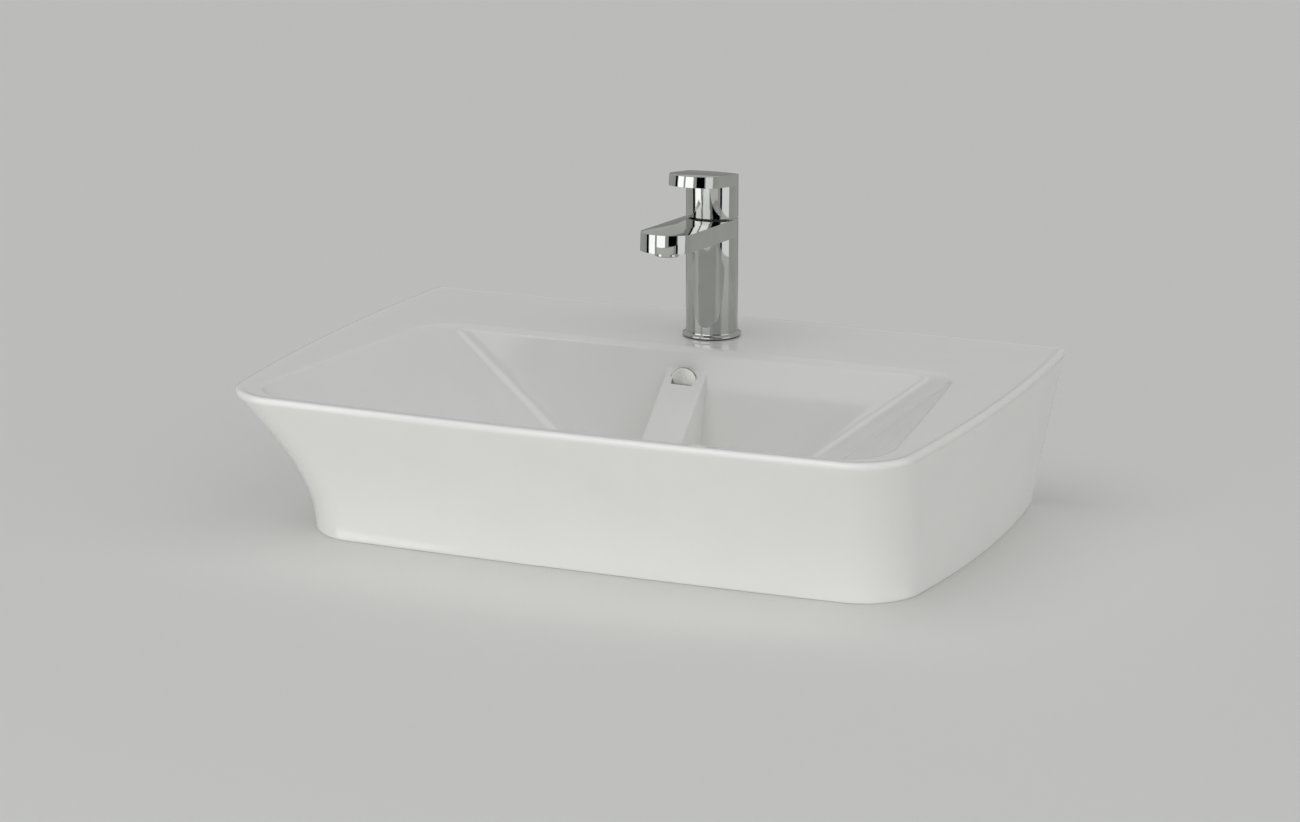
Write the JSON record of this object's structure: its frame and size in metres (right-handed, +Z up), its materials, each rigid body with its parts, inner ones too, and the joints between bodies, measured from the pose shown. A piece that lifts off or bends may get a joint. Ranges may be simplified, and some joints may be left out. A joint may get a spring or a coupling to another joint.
{
  "type": "washbasin with mixer tap",
  "caption": "Rectangular wall-backed ceramic basin with flared apron, sloping bowl, lever mixer tap, chrome overflow and push waste.",
  "frame": {"origin": "midway between the two wall bolt holes, on the flat back face that meets the wall", "axes": "+X along the wall to the right as seen from the front, +Y into the wall, +Z up"},
  "size_m": [0.6002, 0.419, 0.3378],
  "materials": {
    "glaze": "white glaze, high gloss",
    "chrome": "polished chrome plate on brass",
    "brass": "turned",
    "spring_steel": "bright stainless",
    "rubber": "matt",
    "white_plastic": "moulded",
    "disc_ceramic": "lapped",
    "cap_grey": "moulded, silver grey"
  },
  "bodies": {
    "root": {"basin_ceramic": "glaze", "overflow_insert": "white_plastic", "overflow_cap": "chrome", "waste_body": "chrome", "flange_seal": "rubber", "waste_gasket": "rubber", "waste_washer": "white_plastic", "waste_nut": "brass", "plug_guide": "white_plastic", "plug_spring": "spring_steel", "base_gasket": "rubber", "base_ring": "chrome", "tap_body": "chrome", "fixing_stud": "spring_steel", "clamp_rubber": "rubber", "clamp_plate": "spring_steel", "fixing_nut": "brass", "aerator_housing": "chrome", "aerator_insert": "white_plastic", "aerator_seal": "rubber", "cartridge_base": "white_plastic", "inlet_seals": "rubber", "cartridge_housing": "white_plastic", "fixed_disc": "disc_ceramic", "retaining_nut": "brass"},
    "turret": {"cartridge_turret": "white_plastic", "pivot_pin": "spring_steel"},
    "handle": {"tap_handle": "chrome", "lever_stem": "spring_steel", "handle_screw": "spring_steel", "screw_cap": "cap_grey"},
    "mixing_disc": {"moving_disc": "disc_ceramic", "disc_carrier": "white_plastic"},
    "plug": {"plug_cap": "chrome", "plug_seal": "rubber", "plug_stem": "brass"}
  },
  "joints": [
    {"name": "temperature_swing", "type": "hinge", "parent": "root", "child": "turret", "pos_m": [0, -0.0715, 0.1799], "axis": [0, 0, 1], "range_deg": [-45, 45]},
    {"name": "lever_lift", "type": "hinge", "parent": "turret", "child": "handle", "pos_m": [0, -0.0675, 0.1799], "axis": [-1, 0, 0], "range_deg": [0, 18]},
    {"name": "disc_slide", "type": "slide", "parent": "turret", "child": "mixing_disc", "axis": [0, -1, 0], "range_m": [0, 0.0035]},
    {"name": "plug_push", "type": "slide", "parent": "root", "child": "plug", "axis": [0, 0, 1], "range_m": [-0.008, 0], "deforming": ["plug_spring"]}
  ],
  "couplings": [
    {"joint": "disc_slide", "follows": "lever_lift", "m_per_rad": 0.01082}
  ]
}
